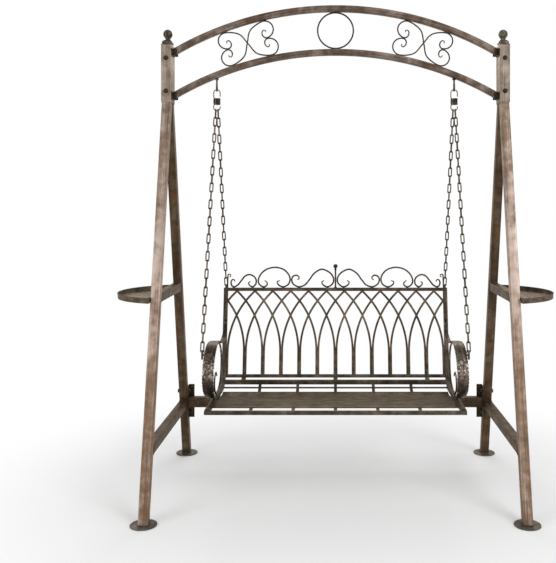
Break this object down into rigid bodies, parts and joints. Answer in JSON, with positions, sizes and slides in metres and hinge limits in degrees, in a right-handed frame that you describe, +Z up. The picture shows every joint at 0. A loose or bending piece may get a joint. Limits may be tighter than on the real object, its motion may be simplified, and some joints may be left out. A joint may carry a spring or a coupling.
{
  "type": "swing bench",
  "caption": "Wrought iron garden swing bench: arched two-post frame with side trays and a scrolled bench that swings on chains and springs.",
  "frame": {"origin": "on the floor under the middle of the four foot plates", "axes": "metres, +Z up, +X across to the right of someone who looks at the front, the bench faces -Y"},
  "size_m": [1.98, 1, 2.2],
  "materials": {
    "frame_tube": "brushed antique copper-brown enamel",
    "arch_tube": "brushed dark bronze enamel with worn highlights",
    "dark_fittings": "satin dark iron enamel",
    "foot_metal": "dull grey-green enamel",
    "chain_metal": "worn bronze finish",
    "bench_bar": "antique bronze enamel",
    "seat_metal": "olive bronze enamel with polished highlights",
    "arm_metal": "embossed antique enamel with light highlights"
  },
  "bodies": {
    "frame": {"arch_scrolls_left": "bench_bar", "arch_scrolls_right": "bench_bar", "centre_ring": "bench_bar", "crossbar_bracket_left": "dark_fittings", "crossbar_bracket_right": "dark_fittings", "eye_bolt_left": "chain_metal", "eye_bolt_right": "chain_metal", "foot_plate_front_left": "foot_metal", "foot_plate_front_right": "foot_metal", "foot_plate_rear_left": "foot_metal", "foot_plate_rear_right": "foot_metal", "leg_front_left": "frame_tube", "leg_front_right": "frame_tube", "leg_rear_left": "frame_tube", "leg_rear_right": "frame_tube", "lower_arch": "arch_tube", "lower_arch_socket_left": "dark_fittings", "lower_arch_socket_right": "dark_fittings", "post_bolt_lower_left": "dark_fittings", "post_bolt_lower_right": "dark_fittings", "post_bolt_upper_left": "dark_fittings", "post_bolt_upper_right": "dark_fittings", "post_cap_left": "foot_metal", "post_cap_right": "foot_metal", "post_left": "frame_tube", "post_right": "frame_tube", "rear_crossbar": "frame_tube", "side_brace_left": "frame_tube", "side_brace_right": "frame_tube", "tray_left": "arch_tube", "tray_rail_left": "frame_tube", "tray_rail_right": "frame_tube", "tray_right": "arch_tube", "upper_arch": "arch_tube", "upper_arch_socket_left": "dark_fittings", "upper_arch_socket_right": "dark_fittings"},
    "springs": {"spring_left": "chain_metal", "spring_right": "chain_metal"},
    "bench": {"arm_left": "arm_metal", "arm_right": "arm_metal", "back_bottom_rail": "bench_bar", "back_lattice": "bench_bar", "back_top_rail": "bench_bar", "chain_front_left": "chain_metal", "chain_front_right": "chain_metal", "chain_rear_left": "chain_metal", "chain_rear_right": "chain_metal", "crest_finial": "bench_bar", "crest_scroll_inner_left": "bench_bar", "crest_scroll_inner_right": "bench_bar", "crest_scroll_middle_left": "bench_bar", "crest_scroll_middle_right": "bench_bar", "crest_scroll_outer_left": "bench_bar", "crest_scroll_outer_right": "bench_bar", "seat_front_rail": "bench_bar", "seat_rear_rail": "bench_bar", "seat_slats": "seat_metal", "side_bar_left": "bench_bar", "side_bar_right": "bench_bar"}
  },
  "joints": [
    {"name": "swing", "type": "hinge", "parent": "frame", "child": "springs", "pos_m": [0, 0, 1.81405], "axis": [1, 0, 0], "range_deg": [-25, 25]},
    {"name": "bounce", "type": "slide", "parent": "springs", "child": "bench", "axis": [0, 0, -1], "range_m": [0, 0.03], "stiffness_N_per_m": 80000, "springref_m": -0.0036, "deforming": ["spring_left", "spring_right"]}
  ]
}
